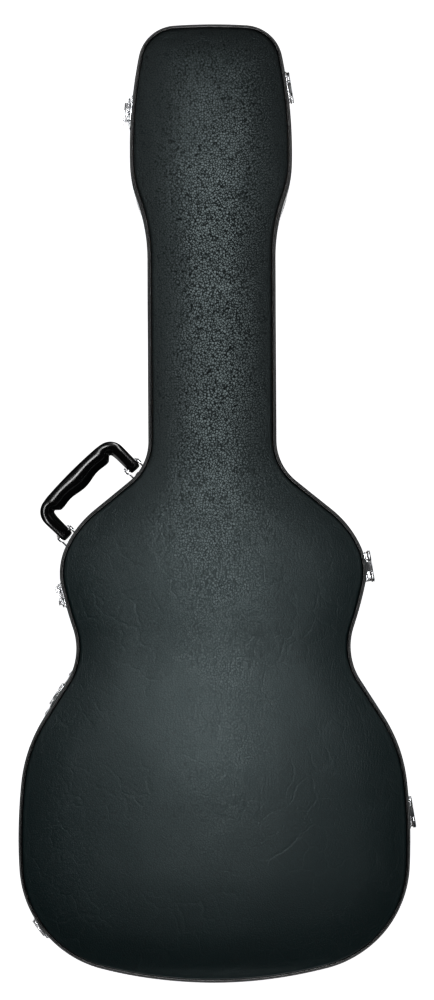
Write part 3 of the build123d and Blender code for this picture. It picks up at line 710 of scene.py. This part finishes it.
for name, node, body, (low, high), rounding in (
    ("lid_vinyl_side", "lid_side_covering", "lid", LID_SIDE, 1.2 * MM),
    ("lower_vinyl_side", "lower_side_covering", "bottom", LOWER_SIDE, 1.0 * MM),
):
    side = band(name, side_profile(low, high, rounding), side_wave)
    place(side, body, "vinyl", SIDE_VINYL, node)

back_vinyl = slab(
    "back_vinyl",
    2 * MM,
    [(0.9 * MM, 0), (0.35 * MM, -0.12 * MM), (0.1 * MM, -0.4 * MM)],
    lambda x, y: BACK_FACE,
    lambda x, y: BACK_UNDER + abs(ripple(x, y, 0.05, 0.08 * MM)),
)
place(back_vinyl, "bottom", "vinyl", VINYL, "back_covering")


def bead_profile(middle, height, radius, flange_inset, flange_low):
    """A welt: a round bead with the flat flange that holds it under the vinyl."""
    arc = []
    for turn in np.linspace(-60, 240, 19):
        angle = math.radians(turn)
        arc.append((middle - radius * math.cos(angle), height + radius * math.sin(angle)))
    return arc + [(flange_inset[0], flange_low), (flange_inset[1], flange_low)]


lid_welt = band("lid_welt", bead_profile(*BEAD_PLACE, BEAD, BEAD_FLANGE, BEAD_FLANGE_LOW))
place(lid_welt, "lid", "piping", PIPING, "lid_piping")
lower_bead = round_profile(
    [(-0.5 * MM, 1.0 * MM), (-0.5 * MM, 4.4 * MM), (0.65 * MM, 4.5 * MM), (0.65 * MM, 1.0 * MM)],
    1.1 * MM,
)
place(band("lower_welt", lower_bead), "bottom", "piping", PIPING, "lower_piping")

# ---- Valances, in stretches between the hardware ------------------------------------------------------

VALANCE_PROUD = 0.8 * MM
VALANCE_BACK = 1.6 * MM
GROOVE = -0.45 * MM  # inset of the groove drawn along the valance


def edge_hits(points):
    """The nearest station of the outline to each point."""
    return [EDGE_TREE.find((x, y, 0))[1] for x, y in points]


def solid_stretches(node):
    """Start and end stations of each stretch of a valance, read from where its CAD solids reach."""
    mesh = NODES[node].data
    outer = edge_hits([vertex.co[:2] for vertex in mesh.vertices])
    total = len(RIM)
    covered = np.zeros(total, bool)
    mesh.calc_loop_triangles()
    for triangle in mesh.loop_triangles:
        hits = [outer[v] for v in triangle.vertices]
        low, high = min(hits), max(hits)
        if high - low < total / 2:
            covered[low : high + 1] = True
        else:
            wrapped = [h if h > total / 2 else h + total for h in hits]
            for k in range(min(wrapped), max(wrapped) + 1):
                covered[k % total] = True
    starts = [i for i in range(total) if covered[i] and not covered[i - 1]]
    stretches = []
    for start in starts:
        end = start
        while covered[end % total]:
            end += 1
        stretches.append((start, end))
    return stretches


def valance_profile(low, high):
    """A rounded nose with a groove drawn along it."""
    middle = (low + high) / 2
    reach = 0.98 * (high - low) / 2
    nose = []
    for angle in np.linspace(-1.5, 1.5, 9):
        inset = 0.5 * MM * (1 - math.cos(angle)) - VALANCE_PROUD
        nose.append((inset, middle + reach * math.sin(angle)))
    nose[len(nose) // 2] = (GROOVE, middle)
    return nose + [(VALANCE_BACK, high - 0.05 * MM), (VALANCE_BACK, low + 0.05 * MM)]


for name, node, body, low, high in (
    ("lower_rim_strip", "lower_valance", "bottom", 96 * MM, 99.95 * MM),
    ("lid_rim_strip", "lid_valance", "lid", 100.35 * MM, 104.3 * MM),
):
    strip = band(name, valance_profile(low, high), stretches=solid_stretches(node))
    place(strip, body, "valance", ALUMINIUM, node)

# ---- Wooden parts and the tongue ----------------------------------------------------------------------

for node in ("back_panel", "lid_top_panel"):
    NODES[node].data.materials.clear()
    NODES[node].data.materials.append(PLYWOOD)
for node, body in (("lower_side_wall", "bottom"), ("lid_side_wall", "lid")):
    place(finished_copy(node, f"{node}_board", 0.25 * MM), body, "plywood", PLYWOOD, node)
tongue = finished_copy("lid_tongue", "lid_tongue_strip", 0.2 * MM)
place(tongue, "lid", "valance", ALUMINIUM, "lid_tongue")

# ---- Linings ------------------------------------------------------------------------------------------


LINING_WAVE = 0.5 * MM
LINING_SECTION = (6.2 * MM, 9.5 * MM)  # insets of the back and the front of the side linings
LINING_INSET = 8.5 * MM  # where the edges of the flat linings start to roll over
BACK_PLUSH_FACE = 9.7 * MM
BACK_PLUSH_UNDER = 6.2 * MM
LID_PLUSH_BACK = 130.6 * MM
LID_PLUSH_FACE = 127.1 * MM


def padded_wave(station, height):
    """The unevenness of a lining on its foam."""
    x, y = RIM[station]
    return LINING_WAVE * noise.noise(Vector((x / 0.03, y / 0.03, height / 0.02)))


def lining_profile(low, high, outer, inner):
    """The section of a glued lining: flat behind, soft in front and rolled in at the top."""
    front = [(inner, h) for h in np.linspace(low, high, 12)]
    return round_profile([(outer, low), *front, (outer, high)], 1.6 * MM, 3)


for name, node, body, low, high in (
    ("lower_plush_side", "lower_side_lining", "bottom", 10.4 * MM, 91 * MM),
    ("lid_plush_side", "lid_side_lining", "lid", 112.3 * MM, 126.2 * MM),
):
    lining = band(name, lining_profile(low, high, *LINING_SECTION), padded_wave)
    place(lining, body, "plush", PLUSH, node)

back_plush = slab(
    "back_plush",
    LINING_INSET,
    [(7.3 * MM, -0.35 * MM), (6.4 * MM, -1.2 * MM), (6.15 * MM, -2.4 * MM)],
    lambda x, y: BACK_PLUSH_FACE + ripple(x, y, 0.04, LINING_WAVE),
    lambda x, y: BACK_PLUSH_UNDER,
)
place(back_plush, "bottom", "plush", PLUSH, "back_lining")

lid_plush = slab(
    "lid_plush",
    LINING_INSET,
    [(7.3 * MM, -0.3 * MM), (6.4 * MM, -0.9 * MM), (6.15 * MM, -1.6 * MM)],
    lambda x, y: LID_PLUSH_BACK + float(crown(x, y)),
    lambda x, y: LID_PLUSH_FACE + float(crown(x, y)) + ripple(x, y, 0.05, 0.6 * MM),
)
place(lid_plush, "lid", "plush", PLUSH, "lid_lining")

# ---- Pads ---------------------------------------------------------------------------------------------

PAD_FRAMES = 20
PAD_VOXEL = 5 * MM
PAD_SHRINK = 1.4 * MM  # how far inside the CAD solid a pad's cover starts
PAD_CAP = 3.2 * MM  # the furthest that the simulation may move the cover
PAD_FLOOR = 10.0 * MM
PAD_PRESSURE = 4
PAD_TENSION = 20
PAD_BENDING = 1


def remeshed(node, name):
    """A CAD solid's shape as an even quad mesh in a new object."""
    piece = linked_object(name, welded(node))
    made = piece.modifiers.new("even", "REMESH")
    made.mode = "VOXEL"
    made.voxel_size = PAD_VOXEL
    made.use_smooth_shade = True
    apply_modifiers(piece)
    return piece


def apply_modifiers(piece):
    """Makes a piece's mesh what its modifiers show."""
    bpy.context.view_layer.update()
    graph = bpy.context.evaluated_depsgraph_get()
    mesh = bpy.data.meshes.new_from_object(piece.evaluated_get(graph))
    piece.modifiers.clear()
    piece.data = mesh


def subdivide(piece, levels):
    """Smooths a piece by subdividing it."""
    rounder = piece.modifiers.new("rounder", "SUBSURF")
    rounder.levels = levels
    rounder.render_levels = levels
    apply_modifiers(piece)


def positions(mesh):
    """A mesh's points as rows."""
    flat = np.zeros(len(mesh.vertices) * 3)
    mesh.vertices.foreach_get("co", flat)
    return flat.reshape(-1, 3)


def stuffed(node, name):
    """A plush pad in a CAD solid's place, swollen by cloth simulation and kept near that solid."""
    piece = remeshed(node, name)
    shrink = piece.modifiers.new("soften", "SMOOTH")
    shrink.factor = 0.5
    shrink.iterations = 6
    apply_modifiers(piece)
    mesh = piece.data
    start = positions(mesh)
    normals = np.array([v.normal for v in mesh.vertices])
    start -= normals * PAD_SHRINK
    mesh.vertices.foreach_set("co", start.ravel())
    cloth = piece.modifiers.new("cloth", "CLOTH")
    cloth.settings.use_pressure = True
    cloth.settings.uniform_pressure_force = PAD_PRESSURE
    cloth.settings.effector_weights.gravity = 0
    cloth.settings.tension_stiffness = PAD_TENSION
    cloth.settings.bending_stiffness = PAD_BENDING
    cloth.point_cache.frame_start = 1
    cloth.point_cache.frame_end = PAD_FRAMES
    for step in range(1, PAD_FRAMES + 1):
        bpy.context.scene.frame_set(step)
    apply_modifiers(piece)
    bpy.context.scene.frame_set(1)
    moved = positions(piece.data) - start
    length = np.linalg.norm(moved, axis=1)
    kept = np.minimum(length, PAD_CAP) / np.maximum(length, 1e-9)
    final = start + moved * kept[:, None]
    lowest, highest = (np.array(corner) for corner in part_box(node))
    lowest[2] = PAD_FLOOR
    final = np.clip(final, lowest, highest)
    piece.data.vertices.foreach_set("co", final.ravel())
    subdivide(piece, 1)
    piece.data.polygons.foreach_set("use_smooth", [True] * len(piece.data.polygons))
    place(piece, "bottom", "plush", PAD_PLUSH, node)


for node in ("waist_pad_left", "waist_pad_right", "head_pad", "tail_pad", "neck_cradle"):
    stuffed(node, f"{node}_plush")

BOARD_ROUNDING = 1.3 * MM


def soft_board(node, name, body):
    """A plush-covered board: the CAD board with soft rounded edges."""
    piece = finished_copy(node, name, BOARD_ROUNDING, segments=4, profile=0.5, crease=40, sharp=60)
    place(piece, body, "plush", PAD_PLUSH, node)


soft_board("compartment_front_wall", "compartment_front_board", "bottom")
soft_board("compartment_rear_wall", "compartment_rear_board", "bottom")
soft_board("compartment_lid", "compartment_lid_board", "compartment_lid")

tab = finished_copy("compartment_pull_tab", "pull_tab_leather", 0.3 * MM)
place(tab, "compartment_lid", "pull_tab", TAB, "compartment_pull_tab")

# ---- Tubes --------------------------------------------------------------------------------------------


def tube(name, path, radius, sides):
    """A smooth tube along an open path of points."""
    path = [Vector(p) for p in path]
    count = len(path)
    verts = []
    faces = []
    side = None
    for i, point in enumerate(path):
        before = path[max(i - 1, 0)]
        after = path[min(i + 1, count - 1)]
        along = (after - before).normalized()
        if side is None:
            side = along.orthogonal().normalized()
        side = (side - along * side.dot(along)).normalized()
        other = along.cross(side)
        for k in range(sides):
            angle = 2 * math.pi * k / sides
            verts.append(point + radius * (side * math.cos(angle) + other * math.sin(angle)))
    for i in range(count - 1):
        here = i * sides
        there = here + sides
        for k in range(sides):
            j = (k + 1) % sides
            faces.append((here + k, here + j, there + j, there + k))
    faces.append(tuple(range(sides)))
    faces.append(tuple((count - 1) * sides + k for k in reversed(range(sides))))
    return finish_mesh(name, verts, faces)


def rounded_path(corners, radius, steps=8):
    """A path through corners, each turned with an arc-like curve."""
    corners = [Vector(c) for c in corners]
    path = [corners[0]]
    for before, corner, after in zip(corners, corners[1:], corners[2:]):
        start = corner + (before - corner).normalized() * radius
        end = corner + (after - corner).normalized() * radius
        for t in np.linspace(0, 1, steps).tolist():
            path.append((1 - t) ** 2 * start + 2 * t * (1 - t) * corner + t * t * end)
    path.append(corners[-1])
    return path


# Stitches round the pull tab.
low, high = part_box("compartment_pull_tab")
STITCH = 2.2 * MM
STITCH_GAP = 0.3 * MM
STITCH_SHARE = 0.72  # where along its pitch a stitch ends
STITCH_RISE = 0.22 * MM
THREAD_RADIUS = 0.28 * MM
margin = 1.8 * MM
stitch_z = high.z + 0.1 * MM
outline_points = rounded_path(
    [
        (low.x + margin, high.y - margin, stitch_z),
        (low.x + margin, low.y + margin, stitch_z),
        (high.x - margin, low.y + margin, stitch_z),
        (high.x - margin, high.y - margin, stitch_z),
    ],
    3 * MM,
)
lengths = np.cumsum([0] + [(b - a).length for a, b in zip(outline_points, outline_points[1:])])
count = int(lengths[-1] / STITCH)
stitches = []
for k in range(count):
    ends = []
    for distance in (k * STITCH + STITCH_GAP, (k + STITCH_SHARE) * STITCH):
        spot = [np.interp(distance, lengths, [p[axis] for p in outline_points]) for axis in range(3)]
        ends.append(Vector(spot))
    middle = (ends[0] + ends[1]) / 2 + Vector((0, 0, STITCH_RISE))
    stitches.append(tube(f"stitch_{k}", [ends[0], middle, ends[1]], THREAD_RADIUS, 8))
for stitch in stitches[1:]:
    stitch.select_set(True)
with bpy.context.temp_override(
    active_object=stitches[0], selected_editable_objects=stitches, selected_objects=stitches
):
    bpy.ops.object.join()
stitches[0].name = "pull_tab_stitches"
place(stitches[0], "compartment_lid", "pull_tab", THREAD)

# ---- Metal hardware -----------------------------------------------------------------------------------

BODY_OF = {node: piece["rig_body"] for node, piece in NODES.items()}
PLATE_EASE = 0.28 * MM
PIN_EASE = 0.5 * MM
RIVET_EASE = 0.55 * MM
LATCH_PLATES = ("latch_base", "latch_lever", "latch_catch", "latch_pins")
PLATES = (*LATCH_PLATES, "hinge_", "lock_", "hasp", "handle_bracket")


def plate_metal(node, name, ease):
    """Replaces a metal CAD node by an eased copy of it in bright plate."""
    place(finished_copy(node, name, ease), BODY_OF[node], "plated_steel", PLATED, node)


for node in sorted(NODES):
    if node.startswith(PLATES):
        plate_metal(node, f"{node}_plated", PLATE_EASE)
plate_metal("handle_pins", "handle_pins_plated", PIN_EASE)
for node in ("lower_rivets", "lid_rivets"):
    plate_metal(node, f"{node}_domed", RIVET_EASE)

# The bails, bent from round wire.
BAIL_WIRE = 1.2 * MM
BAIL_BEND = 2 * MM
BAIL_RETURN = 3.5 * MM  # length of the wire's ends that turn back into the lever
for number in (1, 2, 3):
    node = f"latch_bail_{number}"
    points = positions(NODES[node].data)
    flat = points[:, :2] - points[:, :2].mean(0)
    along = np.linalg.svd(flat, full_matrices=False)[2][0]
    reach = flat @ along
    middle_plan = points[:, :2].mean(0) + along * (reach.max() + reach.min()) / 2
    half = (reach.max() - reach.min()) / 2 - BAIL_WIRE
    inner = half - BAIL_RETURN
    bottom_z = points[:, 2].min() + BAIL_WIRE
    top_z = points[:, 2].max() - BAIL_WIRE
    corners = []
    for sideways, z in (
        (inner, bottom_z),
        (half, bottom_z),
        (half, top_z),
        (-half, top_z),
        (-half, bottom_z),
        (-inner, bottom_z),
    ):
        x, y = middle_plan + along * sideways
        corners.append((x, y, z))
    wire = tube(f"{node}_wire", rounded_path(corners, BAIL_BEND), BAIL_WIRE, 14)
    place(wire, BODY_OF[node], "plated_steel", PLATED, node)

# ---- Handle -------------------------------------------------------------------------------------------

HANDLE_MIDDLE = Vector((-126.3, -1.9, 60)) * MM
HANDLE_OUT = Vector((-0.7034, 0.7108, 0)).normalized()
HANDLE_ALONG = HANDLE_OUT.cross(Vector((0, 0, 1)))

# The handle's own sizes are in mm, along it and out from the case.
GRIP_OUTER = 55.7
GRIP_BOW = 0.0009  # how fast the outer edge falls back from the middle
GRIP_INNER = 31.7
GRIP_END = 38
FINGER_WAVE = 1.5
FINGER_PITCH = 46
FOOT = 55.5
CORNER = Vector((44.6, 34.6))  # what the section turns round between a leg and the grip
CORNER_NEAR = 2.2
CORNER_FAR = 18.9
CORNER_TURNS = range(6, 90, 16)
CORNER_HALF_HEIGHT = 9.7
GRIP_HALF_HEIGHT = 9.9
# Each (distance out, half width, half height).
LEG_SECTIONS = ((3.2, 5.8, 5.2), (5.6, 7.3, 6.3), (14, 7.5, 7.2), (24, 7.7, 8.4), (31, 7.9, 9.2))


def handle_section(place_along):
    """The inner and outer distance of the grip's edges at a place along it."""
    s = abs(place_along)
    outer = GRIP_OUTER - GRIP_BOW * s * s
    waves = FINGER_WAVE * math.cos(2 * math.pi * place_along / FINGER_PITCH)
    inner = GRIP_INNER - waves * max(0, 1 - (s / GRIP_END) ** 6)
    return inner, outer


def handle_mesh():
    """Rings of the handle's section, (middle, outward, half width, half height), from foot to foot."""
    rings = []
    for side in (1, -1):
        stretch = []
        for r, width, deep in LEG_SECTIONS:
            stretch.append((Vector((side * FOOT, r)), Vector((side, 0)), width, deep))
        for turn in CORNER_TURNS:
            angle = math.radians(turn)
            direction = Vector((side * math.cos(angle), math.sin(angle)))
            middle = Vector((side * CORNER.x, CORNER.y)) + direction * (CORNER_NEAR + CORNER_FAR) / 2
            half_width = (CORNER_FAR - CORNER_NEAR) / 2
            stretch.append((middle, direction, half_width, CORNER_HALF_HEIGHT))
        rings.append(stretch)
    grip = []
    for s in np.linspace(40, -40, 33):
        inner, outer = handle_section(s)
        middle = Vector((s, (inner + outer) / 2))
        grip.append((middle, Vector((0, 1)), (outer - inner) / 2, GRIP_HALF_HEIGHT))
    return rings[0] + grip + rings[1][::-1]


SIDES = 32
PARTING = 0.25  # rise of the mould's parting line
SQUARENESS = 0.8
LEAN_OUT = 0.6  # how far the crest of the section lies towards the outside, as a share of its half width
handle_verts = []
handle_faces = []
sections = handle_mesh()
for middle, outward, half_width, half_height in sections:
    for k in range(SIDES):
        angle = 2 * math.pi * k / SIDES
        c, s = math.cos(angle), math.sin(angle)
        crest = abs(s) ** SQUARENESS
        across = min(1, math.copysign(abs(c) ** SQUARENESS, c) + LEAN_OUT * crest) * half_width
        up = math.copysign(crest, s) * half_height
        if k in (0, SIDES // 2):
            across += math.copysign(PARTING, across)
        flat = middle + outward * across
        world_point = HANDLE_MIDDLE + (HANDLE_ALONG * flat.x + HANDLE_OUT * flat.y) * MM
        handle_verts.append(world_point + Vector((0, 0, up * MM)))
total_rings = len(sections)
for i in range(total_rings - 1):
    for k in range(SIDES):
        j = (k + 1) % SIDES
        here = i * SIDES
        handle_faces.append((here + k, here + j, here + SIDES + j, here + SIDES + k))
for ring in (0, total_rings - 1):
    handle_faces.append(tuple(ring * SIDES + k for k in range(SIDES)))
handle = finish_mesh("handle_moulded", handle_verts, handle_faces, sharp=70)
subdivide(handle, 2)
place(handle, "handle", "handle_plastic", HANDLE, "handle_grip")
